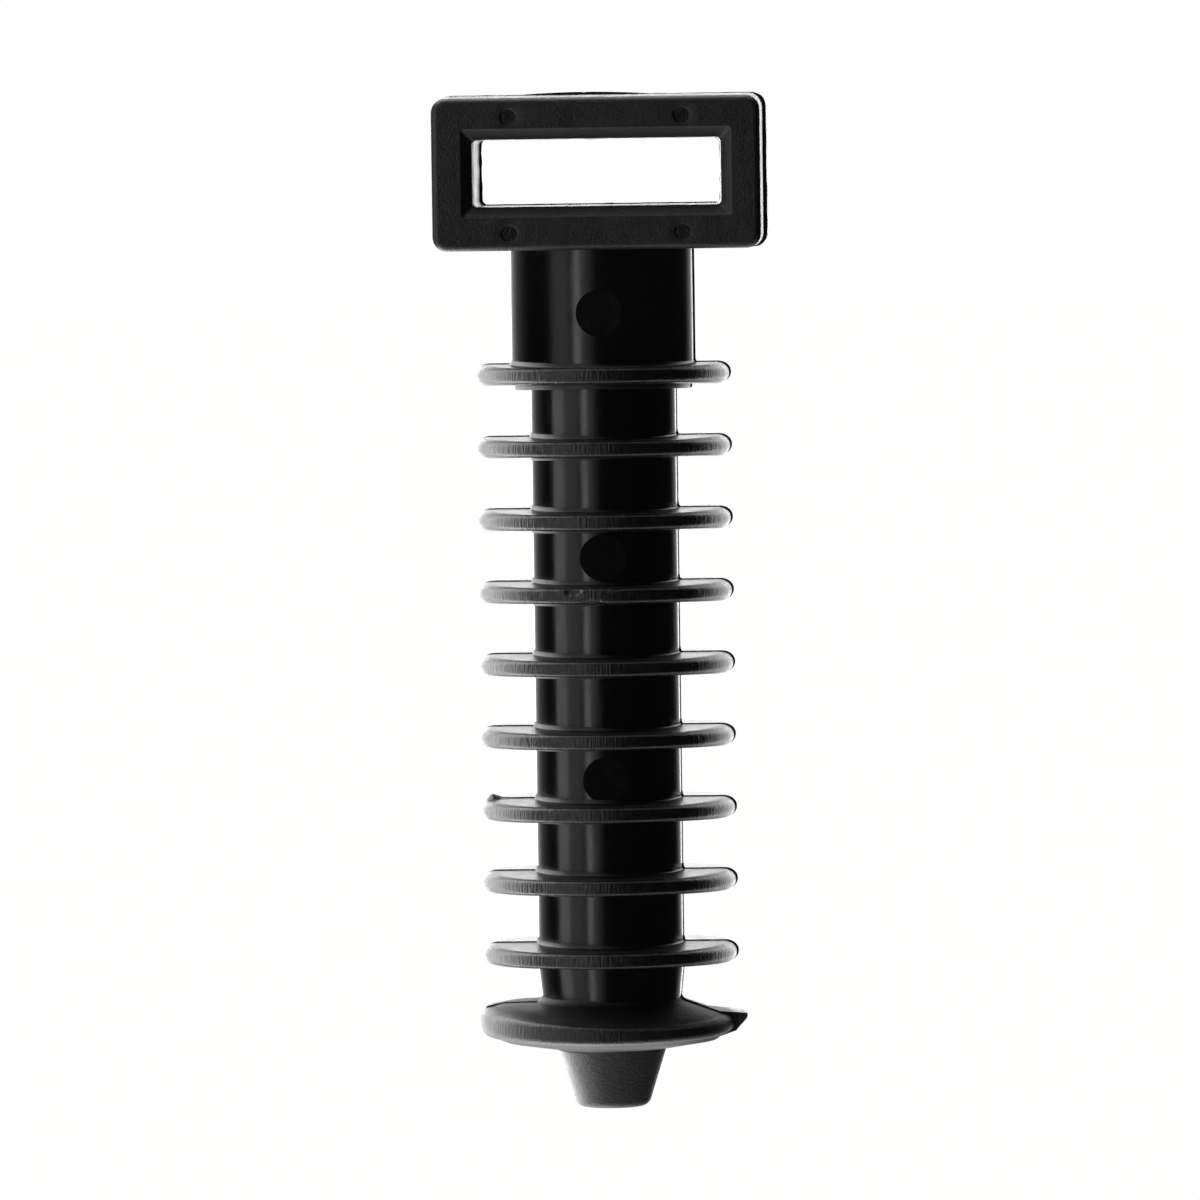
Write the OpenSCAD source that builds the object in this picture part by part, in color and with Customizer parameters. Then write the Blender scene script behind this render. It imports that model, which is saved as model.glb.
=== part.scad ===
// Push-in masonry anchor for a cable tie: a slotted head on a finned shank.
// The whole object is one nylon moulding, and each node below is one of its features.
// Units are millimetres. The origin is on the shank's axis at the head's underside,
// which rests on the wall. +Z runs out of the wall, and -Y is the slot's front.

/* [Head] */
// Width across the head at the parting line
head_w = 13; // [11:0.05:17]
// Height of the head above the wall, at the parting line
head_h = 6; // [5:0.05:9]
// Distance by which the head stands proud of the collar at the front and back
head_overhang = 0.225; // [0.1:0.025:3]
// Amount by which each side draws in from the parting line to the front and back
head_side_draft = 0.03; // [0.02:0.01:0.4]
// Amount by which the top draws down from the parting line to the front and back
head_top_draft = 0.09; // [0.02:0.01:0.2]
// Radius of the head's four long corners
head_corner_r = 0.55; // [0.2:0.05:0.9]
// Diameter of the low strike pad on the head's top
pad_d = 5.3; // [3:0.1:7]
// Height of the strike pad
pad_h = 0.2; // [0.1:0.01:0.4]
// Distance of the strike pad from the shank's axis, across the head
pad_x = -0.6; // [-2:0.1:2]

/* [Tie slot] */
// Width of the slot at its narrowest, for the cable tie's strap
slot_w = 9.4; // [7:0.05:11.3]
// Height of the slot at its narrowest
slot_h = 2.45; // [1.6:0.05:3]
// Height of the slot's centre above the wall
slot_z = 3; // [2.7:0.05:3.6]
// Amount by which each slot wall opens from the middle to the funnel
slot_draft = 0.13; // [0.04:0.01:0.2]
// Width and depth of the bevelled funnel round each mouth
funnel = 0.4; // [0.2:0.05:0.5]

/* [Collar and core] */
// Diameter of the smooth collar under the head
collar_d = 7.15; // [5.9:0.05:8.6]
// Length of the collar, from the wall face to the first fin
collar_l = 4.45; // [3:0.05:10]
// Depth by which the collar is let into the head
collar_seat = 0.3; // [0.1:0.05:0.6]
// Diameter of the core
core_d = 5.7; // [4.7:0.05:6.9]
// Amount by which the core's diameter draws in between the last fin and the lead fin
core_taper = 0.25; // [0.05:0.05:0.6]

/* [Fins] */
// Number of round fins above the lead fin
fin_count = 9; // [3:1:20]
// Diameter of the fins
fin_d = 10; // [8.3:0.1:13]
// Thickness of a fin along the parting line
fin_t = 0.85; // [0.7:0.01:1.2]
// Thickness of a fin's rim at the front and back
fin_tip_t = 0.68; // [0.5:0.01:0.7]
// Distance from one fin to the next
fin_pitch = 2.83; // [2.2:0.01:4]
// Radius of the fillet on top of a fin's root
upper_fillet = 0.36; // [0.1:0.01:0.45]
// Radius of the fillet under a fin's root
lower_fillet = 0.18; // [0.05:0.01:0.3]

/* [Lead fin and tip] */
// Plain length of core between the last fin and the lead fin
lead_gap = 1.36; // [1:0.01:3]
// Diameter of the lead fin at its upper edge
lead_d = 10.6; // [8.8:0.1:13]
// Amount by which the lead fin's diameter draws in down its rim
lead_rake = 0.8; // [0.1:0.1:1.6]
// Height of the cone on top of the lead fin
lead_cone_h = 0.68; // [0.3:0.01:1.2]
// Height of the lead fin's rim
lead_rim_h = 0.82; // [0.5:0.01:1.2]
// Height of the slope under the lead fin
lead_slope_h = 0.7; // [0.3:0.01:1.2]
// Diameter of the tip at its root
tip_d = 4.05; // [3.2:0.05:4.6]
// Diameter of the tip at its end, before rounding
tip_end_d = 2.8; // [2:0.05:3.1]
// Length of the tip
tip_l = 2.05; // [1.2:0.05:4]
// Radius of the tip's rounded end
tip_round = 0.35; // [0.1:0.05:0.6]

/* [Hidden] */
$fn = 96;
arc_steps = 8;
slack = 1;

moulded_black = [0.035, 0.035, 0.038];

collar_r = collar_d / 2;
core_r = core_d / 2;
core_end_r = core_r - core_taper / 2;
fin_r = fin_d / 2;
head_d = collar_d + 2 * head_overhang;

// Levels down the shank, measured from the wall face.
first_fin_z = -collar_l - fin_t / 2;
last_fin_z = first_fin_z - (fin_count - 1) * fin_pitch;
last_fin_low_z = last_fin_z - fin_t / 2;
lead_top_z = last_fin_low_z - lead_gap;
lead_edge_z = lead_top_z - lead_cone_h;
lead_low_z = lead_edge_z - lead_rim_h;
tip_top_z = lead_low_z - lead_slope_h;
tip_end_z = tip_top_z - tip_l;

FIN_NODES = [for (i = [1 : fin_count]) str(i < 10 ? "fin_0" : "fin_", i)];

// Half height of a drafted fin at a distance y from the parting line.
function fin_half(y) = fin_t / 2 - (fin_t - fin_tip_t) / 2 * y / fin_r;

// Quarter arc that runs from a wall at radius r, f above the level z, down to radius r + f on z.
function root_arc(r, z, f) =
    [for (i = [0 : arc_steps]) [r + f - f * cos(90 * i / arc_steps),
                                   z + f - f * sin(90 * i / arc_steps)]];

// Polygon drawn in X and Z, extruded through the depth d and centred on Y = 0.
module along_y(d) {
    rotate([90, 0, 0]) linear_extrude(d, center = true) children();
}

// Polygon drawn in Y and Z, extruded across the width w and centred on X = 0.
module along_x(w) {
    rotate([90, 0, 90]) linear_extrude(w, center = true) children();
}

module rounded_rectangle(w, h, r) {
    union() {
        translate([-w / 2 + r, 0]) square([w - 2 * r, h]);
        translate([-w / 2, r]) square([w, h - 2 * r]);
        for (x = [-1, 1], z = [r, h - r]) translate([x * (w / 2 - r), z]) circle(r);
    }
}

// Block whose sides and top draw in from the parting line towards the front and back.
module head_block() {
    w = head_w / 2;
    d = head_d / 2;
    side = w - head_side_draft;
    intersection() {
        along_y(head_d) rounded_rectangle(head_w, head_h, head_corner_r);
        linear_extrude(head_h)
            polygon([[-side, -d], [side, -d], [w, 0], [side, d], [-side, d], [-w, 0]]);
        along_x(head_w)
            polygon([[-d, 0], [d, 0], [d, head_h - head_top_draft], [0, head_h],
                     [-d, head_h - head_top_draft]]);
    }
}

// Outline of the slot seen from the side: narrowest in the middle, with a funnel at each mouth.
// It runs on past both faces at the funnel's own slope, so that the cut is clean.
function slot_profile(half) =
    let (d = head_d / 2, throat = half + slot_draft, mouth = throat + funnel + slack)
    [[-d - slack, -mouth], [-d + funnel, -throat], [0, -half], [d - funnel, -throat],
     [d + slack, -mouth], [d + slack, mouth], [d - funnel, throat], [0, half],
     [-d + funnel, throat], [-d - slack, mouth]];

module tie_slot() {
    wide = head_w + 2 * slack;
    translate([0, 0, slot_z]) intersection() {
        along_x(wide) polygon(slot_profile(slot_h / 2));
        rotate([0, 0, 90]) linear_extrude(wide, center = true) polygon(slot_profile(slot_w / 2));
    }
}

module eyelet_head() {
    color(moulded_black) difference() {
        head_block();
        tie_slot();
        translate([0, 0, -slack]) cylinder(r = collar_r, h = collar_seat + slack);
    }
}

// Low dome that lies on the head's top and follows it where it falls away to the front and back.
module strike_pad() {
    r = pad_d / 2;
    dome_r = (pow(r, 2) + pow(pad_h, 2)) / (2 * pad_h);
    dome_angle = asin(r / dome_r);
    dome = [for (i = [0 : arc_steps])
               let (a = dome_angle * (1 - i / arc_steps))
               [dome_r * sin(a), pad_h + dome_r * (cos(a) - 1)]];
    color(moulded_black) difference() {
        translate([pad_x, 0, head_h])
            rotate_extrude() polygon(concat([[0, -head_top_draft], [r, -head_top_draft]], dome));
        head_block();
    }
}

module collar() {
    color(moulded_black) translate([0, 0, -collar_l]) cylinder(r = collar_r, h = collar_l + collar_seat);
}

// Round bar from the collar to the lead fin, straight as far as the last fin.
module core() {
    color(moulded_black) union() {
        translate([0, 0, last_fin_low_z]) cylinder(r = core_r, h = -collar_l - last_fin_low_z);
        translate([0, 0, lead_top_z]) cylinder(r1 = core_end_r, r2 = core_r, h = lead_gap);
    }
}

// Ring that blends a fin's upper side into a wall at radius r.
module root_ring(r, f) {
    level = fin_half(r + f);
    rotate_extrude() polygon(concat([[r, 0]], root_arc(r, level, f), [[r + f, 0]]));
}

// Fin number i. The first one closes the collar's end, so its upper root is at the collar's radius.
module fin(i) {
    upper_r = i == 1 ? collar_r : core_r;
    color(moulded_black) translate([0, 0, first_fin_z - (i - 1) * fin_pitch]) difference() {
        union() {
            intersection() {
                cylinder(r = fin_r, h = fin_t, center = true);
                along_x(fin_d)
                    polygon([[-fin_r, -fin_tip_t / 2], [0, -fin_t / 2], [fin_r, -fin_tip_t / 2],
                             [fin_r, fin_tip_t / 2], [0, fin_t / 2], [-fin_r, fin_tip_t / 2]]);
            }
            cylinder(r = upper_r, h = fin_t / 2);
            root_ring(upper_r, upper_fillet);
            mirror([0, 0, 1]) root_ring(core_r, lower_fillet);
        }
        cylinder(r = core_r, h = 2 * (fin_t + slack), center = true);
        translate([0, 0, fin_t / 2]) cylinder(r = upper_r, h = fin_t + slack);
    }
}

// Larger barbed fin that enters the hole first: a cone on top, a raked rim and a sloped underside.
module lead_fin() {
    color(moulded_black) rotate_extrude()
        polygon([[0, tip_top_z], [tip_d / 2, tip_top_z], [(lead_d - lead_rake) / 2, lead_low_z],
                 [lead_d / 2, lead_edge_z], [core_end_r, lead_top_z], [0, lead_top_z]]);
}

// Blunt tapered nose with a rounded end.
module tip() {
    rake = atan((tip_d - tip_end_d) / 2 / tip_l);
    end_r = tip_end_d / 2;
    centre = [end_r - tip_round * tan((90 - rake) / 2), tip_end_z + tip_round];
    color(moulded_black) rotate_extrude()
        polygon(concat([[0, tip_end_z]],
                       [for (i = [0 : arc_steps])
                           let (a = -90 + (90 - rake) * i / arc_steps)
                           centre + tip_round * [cos(a), sin(a)]],
                       [[tip_d / 2, tip_top_z], [0, tip_top_z]]));
}

eyelet_head();
strike_pad();
collar();
core();
for (i = [1 : fin_count]) fin(i);
lead_fin();
tip();
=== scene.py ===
"""Looks of a push-in nylon masonry anchor for cable ties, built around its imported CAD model."""

import math

import bmesh
import bpy
from mathutils import Matrix, Vector, geometry, noise


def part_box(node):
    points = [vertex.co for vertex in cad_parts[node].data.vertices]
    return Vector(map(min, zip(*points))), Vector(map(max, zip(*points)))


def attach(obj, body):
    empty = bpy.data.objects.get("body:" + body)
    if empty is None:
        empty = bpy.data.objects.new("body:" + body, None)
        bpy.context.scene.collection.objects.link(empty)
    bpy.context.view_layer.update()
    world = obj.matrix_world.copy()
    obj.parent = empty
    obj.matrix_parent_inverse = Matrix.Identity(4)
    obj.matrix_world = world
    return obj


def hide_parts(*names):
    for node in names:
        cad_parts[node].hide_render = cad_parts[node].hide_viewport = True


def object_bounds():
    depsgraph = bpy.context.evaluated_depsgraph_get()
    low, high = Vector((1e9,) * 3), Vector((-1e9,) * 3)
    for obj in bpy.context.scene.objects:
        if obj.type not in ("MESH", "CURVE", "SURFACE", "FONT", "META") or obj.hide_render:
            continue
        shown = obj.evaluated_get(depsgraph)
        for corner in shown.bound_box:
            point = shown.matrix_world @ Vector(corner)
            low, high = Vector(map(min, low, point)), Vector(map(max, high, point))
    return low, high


bl_info = {
    "name": "Tie Anchor",
    "version": (1, 0, 0),
    "blender": (4, 5, 0),
    "location": "View3D > Sidebar > Tie Anchor",
    "description": "Builds a moulded cable tie anchor feature by feature, with its stage",
    "category": "Add Mesh",
}

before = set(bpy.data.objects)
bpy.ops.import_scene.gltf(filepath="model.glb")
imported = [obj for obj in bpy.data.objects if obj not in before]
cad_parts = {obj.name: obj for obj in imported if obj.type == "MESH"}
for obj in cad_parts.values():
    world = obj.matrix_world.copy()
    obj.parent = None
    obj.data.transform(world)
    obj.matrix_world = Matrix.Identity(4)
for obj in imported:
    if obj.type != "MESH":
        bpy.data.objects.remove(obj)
CAD_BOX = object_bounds()

MM = 0.001
FIN_NODES = sorted(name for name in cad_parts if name.startswith("fin_"))


def srgb(hex_colour):
    """Linear red, green and blue of an sRGB hex value such as '#1a1a1b'."""
    shares = [int(hex_colour[i:i + 2], 16) / 255 for i in (1, 3, 5)]
    return tuple(s / 12.92 if s <= 0.04045 else ((s + 0.055) / 1.055) ** 2.4 for s in shares)


def length(label, what, millimetres):
    """A length property in metres, given in millimetres."""
    return bpy.props.FloatProperty(
        name=label, description=what, default=millimetres * MM, unit="LENGTH", precision=5)


def colour(label, what, hex_colour):
    return bpy.props.FloatVectorProperty(
        name=label, description=what, default=srgb(hex_colour), subtype="COLOR", min=0, max=1)


def angle(label, what, degrees):
    return bpy.props.FloatProperty(
        name=label, description=what, default=math.radians(degrees), subtype="ANGLE")


class AnchorMouldSizes(bpy.types.PropertyGroup):
    """How well the two halves of the mould meet. Right is the side of positive X."""
    head_front: length("Head front shift", "How far the head's front half sits off centre", -0.04)
    head_back: length("Head back shift", "How far the head's back half sits off centre", 0.09)
    fin_shift: length("Fin shift", "How far the fins' back half sits to the right", 0.065)
    core_shift: length(
        "Shank shift", "Same for the collar and the lead fin, and twice that of the core", 0.06)
    rise: length("Rise", "How far the back half sits above the front half", 0.038)
    flash: length("Flash", "Height of the ragged flash along the parting line", 0.012)


class AnchorHeadSizes(bpy.types.PropertyGroup):
    """Sizes of the head that its box doesn't give."""
    corner: length("Corner radius", "Radius of the four long corners", 0.55)
    edge: length("Edge radius", "Softening of the front and back edges", 0.24)
    side_draft: length("Side draft", "How far each side draws in towards the faces", 0.03)
    top_draft: length("Top draft", "How far the top draws down towards the faces", 0.09)
    slot_w: length("Slot width", "Width of the slot at its narrowest", 9.35)
    slot_h: length("Slot height", "Height of the slot at its narrowest", 2.54)
    slot_z: length("Slot height above wall", "Height of the slot's centre", 3.03)
    slot_shift: length("Slot shift", "How far the slot's back half sits to the right", 0.07)
    slot_draft: length("Slot draft", "How far each slot wall opens towards the funnel", 0.14)
    funnel: length("Funnel", "Width and depth of the bevel round each mouth", 0.4)
    pin_r: length("Pin mark radius", "Radius of the four ejector pin marks", 0.33)
    pin_depth: length("Pin mark depth", "Depth of the four ejector pin marks", 0.09)
    pin_x: length("Pin mark spread", "Distance of the pin marks from the axis", 3.35)
    pin_top: length("Upper pin marks", "Height of the upper pair of pin marks", 5.16)
    pin_low: length("Lower pin marks", "Height of the lower pair of pin marks", 0.66)
    pad_step: length("Strike pad step", "How far the pad's front half stands lower", 0.075)
    pad_low: length("Strike pad low", "How far the pad stays below its box", 0.1)


class AnchorShankSizes(bpy.types.PropertyGroup):
    """Sizes of the fins, core and tip that their boxes don't give."""
    fin_t: length("Fin thickness", "Thickness of a fin along the parting line", 0.85)
    fin_tip_t: length("Rim thickness", "Thickness of a fin's rim at the front and back", 0.58)
    fin_round: length("Rim rounding", "Reach of the rim's rounding at the parting line", 0.5)
    fin_edge: length("Rim edge", "Reach of the rim's rounding at the front and back", 0.13)
    rim_lift: length("Rim lift", "How far a rim's front stands above its ends", 0.06)
    upper_fillet: length("Upper fillet", "Height of the fillet on top of a fin's root", 0.18)
    lower_fillet: length("Lower fillet", "Height of the fillet under a fin's root", 0.09)
    boss_r: length("Boss radius", "Radius of the low boss under the first fin", 3.43)
    boss_drop: length("Boss height", "How far that boss reaches below the fin", 0.171)
    core_taper: length("Core taper", "How far the core's diameter draws in at its end", 0.25)
    lead_middle: length("Lead fin height", "Height of the middle of the lead fin's rim", -30.25)
    lead_thick: length("Lead fin thickness", "Height of the lead fin's rim at its ends", 0.91)
    lead_front: length("Lead fin front", "Height of the lead fin's rim at its front", 0.7)
    lead_uneven: length("Lead fin unevenness", "Extra rim height on the left, less on the right", 0.2)
    tip_end_d: length("Tip end", "Diameter of the tip at its end, before rounding", 2.8)
    tip_round: length("Tip rounding", "Radius of the tip's rounded end", 0.35)
    pin_r: length("Shank pin radius", "Radius of the ejector pin marks down the shank", 0.9)
    pin_collar: length("Collar pin", "Height of the pin mark on the collar", -2.45)
    pin_upper: length("Upper core pin", "Height of the upper pin mark on the core", -11.95)
    pin_lower: length("Lower core pin", "Height of the lower pin mark on the core", -20.6)


class AnchorFinish(bpy.types.PropertyGroup):
    """Colours of the plastic."""
    black: colour("Nylon", "Colour of the moulded nylon", "#0b0b0b")
    scuff: colour("Scuffed nylon", "Colour where the plastic is scuffed", "#2a2a2b")
    floor: colour("Floor", "Colour of the floor", "#fbfbfa")


class AnchorStageSizes(bpy.types.PropertyGroup):
    """Camera and light."""
    azimuth: angle("Azimuth", "How far the camera stands round to the right", 2.3)
    elevation: angle("Elevation", "How far the camera looks down", 3.05)
    roll: angle("Roll", "How far the camera is turned about its own axis", -0.8)
    distance: length("Distance", "From the camera to the point that it looks at", 365)
    width: length("Frame width", "Width of the view at that point", 46.875)
    aim_x: length("Aim across", "Point that the camera looks at, across the shank", -0.25)
    aim_z: length("Aim height", "Point that the camera looks at, along the shank", -13.73)


class AnchorSettings(bpy.types.PropertyGroup):
    """Everything that can be set on the anchor."""
    mould: bpy.props.PointerProperty(type=AnchorMouldSizes)
    head: bpy.props.PointerProperty(type=AnchorHeadSizes)
    shank: bpy.props.PointerProperty(type=AnchorShankSizes)
    finish: bpy.props.PointerProperty(type=AnchorFinish)
    stage: bpy.props.PointerProperty(type=AnchorStageSizes)


# ---------------------------------------------------------------- materials


def add_node(tree, kind, inputs=None, **settings):
    """Adds a node, sets its properties, and fills each input from a value or from a socket."""
    made = tree.nodes.new(kind)
    for name, value in settings.items():
        setattr(made, name, value)
    for name, value in (inputs or {}).items():
        if isinstance(value, bpy.types.NodeSocket):
            tree.links.new(value, made.inputs[name])
        else:
            made.inputs[name].default_value = value
    return made


def nylon(name, base, scuff, rough, rough_spread, grain_mm, grain_depth_mm, streak_mm,
          streak_depth_mm, scuff_share, rim=None, polish=0.0):
    """Moulded polyamide. Grain is the mould's own texture, and streaks run along the shank.

    Polyamide 66 has an index of refraction of about 1.53, so a black one shows mostly its gloss.
    A rim's roughness and streaks take over at its start, a distance from the axis, and are in
    full force a quarter of a millimetre further out. Faces marked as polished are smoother, as
    under an ejector pin. Each material is made once and then shared.
    """
    if name in bpy.data.materials:
        return bpy.data.materials[name]
    mottle_mm = 9 * grain_mm
    streak_squash = 0.12
    rim_blend_mm = 0.25
    material = bpy.data.materials.new(name)
    material.use_nodes = True
    tree = material.node_tree
    tree.nodes.clear()
    place = add_node(tree, "ShaderNodeTexCoord").outputs["Object"]
    per_mm = 1 / MM
    grain = add_node(
        tree, "ShaderNodeTexNoise",
        {"Vector": place, "Scale": per_mm / grain_mm, "Detail": 3.0, "Roughness": 0.6})
    mottle = add_node(
        tree, "ShaderNodeTexNoise",
        {"Vector": place, "Scale": per_mm / mottle_mm, "Detail": 4.0, "Roughness": 0.65})
    stretched = add_node(
        tree, "ShaderNodeMapping", {"Vector": place, "Scale": (1, 1, streak_squash)})
    streak = add_node(
        tree, "ShaderNodeTexNoise",
        {"Vector": stretched.outputs["Vector"], "Scale": per_mm / streak_mm, "Detail": 2.0})
    rough_noise = add_node(
        tree, "ShaderNodeMath",
        {0: mottle.outputs["Fac"], 1: streak.outputs["Fac"]}, operation="ADD")
    roughness = add_node(
        tree, "ShaderNodeMapRange",
        {"Value": rough_noise.outputs[0], "From Min": 0.6, "From Max": 1.4,
         "To Min": rough - rough_spread, "To Max": rough + rough_spread}).outputs["Result"]
    streak_depth = streak_depth_mm * MM
    if rim:
        split = add_node(tree, "ShaderNodeSeparateXYZ", {"Vector": place})
        flat = add_node(
            tree, "ShaderNodeCombineXYZ", {"X": split.outputs["X"], "Y": split.outputs["Y"]})
        distance = add_node(
            tree, "ShaderNodeVectorMath", {0: flat.outputs["Vector"]}, operation="LENGTH")
        on_rim = add_node(
            tree, "ShaderNodeMapRange",
            {"Value": distance.outputs["Value"], "From Min": rim["start_mm"] * MM,
             "From Max": (rim["start_mm"] + rim_blend_mm) * MM}).outputs["Result"]
        extra = add_node(
            tree, "ShaderNodeMath", {0: on_rim, 1: rim["rough"] - rough}, operation="MULTIPLY")
        roughness = add_node(
            tree, "ShaderNodeMath", {0: roughness, 1: extra.outputs[0]}).outputs[0]
        streak_depth = add_node(
            tree, "ShaderNodeMapRange",
            {"Value": on_rim, "To Min": streak_depth_mm * MM,
             "To Max": rim["streak_depth_mm"] * MM}).outputs["Result"]
    if polish:
        polished = add_node(tree, "ShaderNodeAttribute", attribute_name="polished")
        smoother = add_node(
            tree, "ShaderNodeMath", {0: polished.outputs["Fac"], 1: -polish},
            operation="MULTIPLY")
        roughness = add_node(
            tree, "ShaderNodeMath", {0: roughness, 1: smoother.outputs[0]}).outputs[0]
    worn = add_node(
        tree, "ShaderNodeMapRange",
        {"Value": mottle.outputs["Fac"], "From Min": 0.5, "From Max": 0.75,
         "To Min": 0.0, "To Max": scuff_share})
    tint = add_node(
        tree, "ShaderNodeMix",
        {"Factor": worn.outputs["Result"], 6: (*base, 1), 7: (*scuff, 1)}, data_type="RGBA")
    grain_bump = add_node(
        tree, "ShaderNodeBump",
        {"Height": grain.outputs["Fac"], "Strength": 1.0, "Distance": grain_depth_mm * MM})
    streak_bump = add_node(
        tree, "ShaderNodeBump",
        {"Height": streak.outputs["Fac"], "Strength": 1.0, "Distance": streak_depth,
         "Normal": grain_bump.outputs["Normal"]})
    surface = add_node(
        tree, "ShaderNodeBsdfPrincipled",
        {"Base Color": tint.outputs[2], "Roughness": roughness,
         "IOR": 1.53, "Normal": streak_bump.outputs["Normal"]})
    add_node(tree, "ShaderNodeOutputMaterial", {"Surface": surface.outputs[0]})
    return material


def spark_eroded_nylon(finish):
    """Head: moulded against a spark-eroded cavity, which gives an even satin with a fine tooth.

    The grain is about 0.05 mm on the real surface and is drawn at 0.08 mm so that it shows. The
    pins' ends are ground, so their marks are polished.
    """
    return nylon("nylon_spark_eroded_satin", finish.black, finish.scuff, rough=0.4,
                 rough_spread=0.09, grain_mm=0.08, grain_depth_mm=0.019, streak_mm=0.5,
                 streak_depth_mm=0.003, scuff_share=0.1, polish=0.22)


def polished_nylon(finish):
    """Collar and core: moulded in a turned and polished bore, so soft boxes show as clear bands."""
    return nylon("nylon_polished_semi_gloss", finish.black, finish.scuff, rough=0.19,
                 rough_spread=0.05, grain_mm=0.06, grain_depth_mm=0.0008, streak_mm=0.14,
                 streak_depth_mm=0.0018, scuff_share=0.05)


def turned_nylon(finish):
    """Fins: flanks left satin by the form tool, and glossier rims that keep its upright marks.

    Such marks are a few hundredths of a millimetre wide and a few thousandths deep. They are drawn
    at 0.075 mm and deeper so that they show.
    """
    return nylon("nylon_turned_satin", finish.black, finish.scuff, rough=0.42,
                 rough_spread=0.06, grain_mm=0.06, grain_depth_mm=0.0015, streak_mm=0.075,
                 streak_depth_mm=0.001, scuff_share=0.25,
                 rim={"rough": 0.33, "streak_depth_mm": 0.03, "start_mm": 4.55})


def blasted_nylon(finish):
    """Lead fin: its cavity was blasted as well as turned, so it is duller than the other fins.

    Its rim keeps upright tool marks, drawn coarser and deeper than real ones, as on the fins.
    """
    return nylon("nylon_blasted_dull", finish.black, finish.scuff, rough=0.6,
                 rough_spread=0.08, grain_mm=0.1, grain_depth_mm=0.022, streak_mm=0.065,
                 streak_depth_mm=0.003, scuff_share=0.4,
                 rim={"rough": 0.42, "streak_depth_mm": 0.03, "start_mm": 4.6})


def grainy_nylon(finish):
    """Tip: the bottom of the cavity was left as eroded, so it is matte and slightly grainy.

    The grain is drawn about twice as coarse as a real eroded one so that it shows.
    """
    return nylon("nylon_eroded_matte", finish.black, finish.scuff, rough=0.6,
                 rough_spread=0.06, grain_mm=0.1, grain_depth_mm=0.028, streak_mm=0.6,
                 streak_depth_mm=0.001, scuff_share=0.5)


# ---------------------------------------------------------------- mesh work


def add_object(made, name):
    """Puts a finished bmesh into the scene as an object, and frees it."""
    mesh = bpy.data.meshes.new(name)
    made.to_mesh(mesh)
    made.free()
    placed = bpy.data.objects.new(name, mesh)
    bpy.context.scene.collection.objects.link(placed)
    return placed


def shade(mesh, sharp_degrees):
    """Shades a mesh smooth, apart from the edges that turn by more than an angle."""
    mesh.polygons.foreach_set("use_smooth", [True] * len(mesh.polygons))
    mesh.set_sharp_from_angle(angle=math.radians(sharp_degrees))


def finish_piece(made, name, material, nodes, sharp_degrees=32):
    """Turns a bmesh into the piece that shows the nodes."""
    bmesh.ops.recalc_face_normals(made, faces=made.faces)
    piece = add_object(made, name)
    shade(piece.data, sharp_degrees)
    piece.data.materials.append(material)
    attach(piece, "root")
    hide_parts(*nodes)
    return piece


def cut(piece, cutters, sharp_degrees):
    """Takes the cutters' shapes out of a piece with exact booleans, and removes the cutters."""
    for cutter in cutters:
        modifier = piece.modifiers.new("cut", "BOOLEAN")
        modifier.operation = "DIFFERENCE"
        modifier.solver = "EXACT"
        modifier.object = cutter
    with bpy.context.temp_override(object=piece, active_object=piece, selected_objects=[piece]):
        for modifier in list(piece.modifiers):
            bpy.ops.object.modifier_apply(modifier=modifier.name)
    for cutter in cutters:
        mesh = cutter.data
        bpy.data.objects.remove(cutter)
        bpy.data.meshes.remove(mesh)
    shade(piece.data, sharp_degrees)


def pin_cutter(pin_r, shank_r, z):
    """A flat-ended round plug along Y, for the flat that an ejector pin leaves on the shank.

    The flat is as deep as it has to be for the whole pin to touch the round shank.
    """
    made = bmesh.new()
    depth = 1 * MM
    floor = -math.sqrt(shank_r ** 2 - pin_r ** 2)
    turn = Matrix.Rotation(math.pi / 2, 4, "X")
    bmesh.ops.create_cone(made, cap_ends=True, segments=72, radius1=pin_r, radius2=pin_r,
                          depth=depth,
                          matrix=Matrix.Translation((0, floor - depth / 2, z)) @ turn)
    return add_object(made, "cutter")


def half_turn(start, steps):
    """Angles in degrees over half a turn from the parting line, closer together beside it."""
    beside_line = [0, 0.25, 0.6, 1.1, 1.8]
    edge = beside_line[-1]
    rest = [edge + (180 - 2 * edge) * i / steps for i in range(1, steps)]
    return [start + a for a in beside_line + rest + [180 - a for a in reversed(beside_line)]]


def columns(steps=110):
    """(angle, side) round the shank: the front half of the mould is side -1, the back half +1."""
    front = [(math.radians(a), -1) for a in half_turn(180, steps)]
    back = [(math.radians(a), 1) for a in half_turn(0, steps)]
    return front + back


def ease(share):
    """Smooth step from 0 to 1."""
    share = min(max(share, 0), 1)
    return share * share * (3 - 2 * share)


def parting_flash(theta, seed, mould):
    """Height of the flash at an angle: a thin ragged ridge on the two parting lines."""
    off = abs(math.sin(theta))
    half_width = 0.008
    ragged = 0.55 + 0.45 * noise.noise(Vector((seed, math.copysign(7, math.cos(theta)), 3)))
    return mould.flash * ragged * math.exp(-(off / half_width) ** 2)


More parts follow.
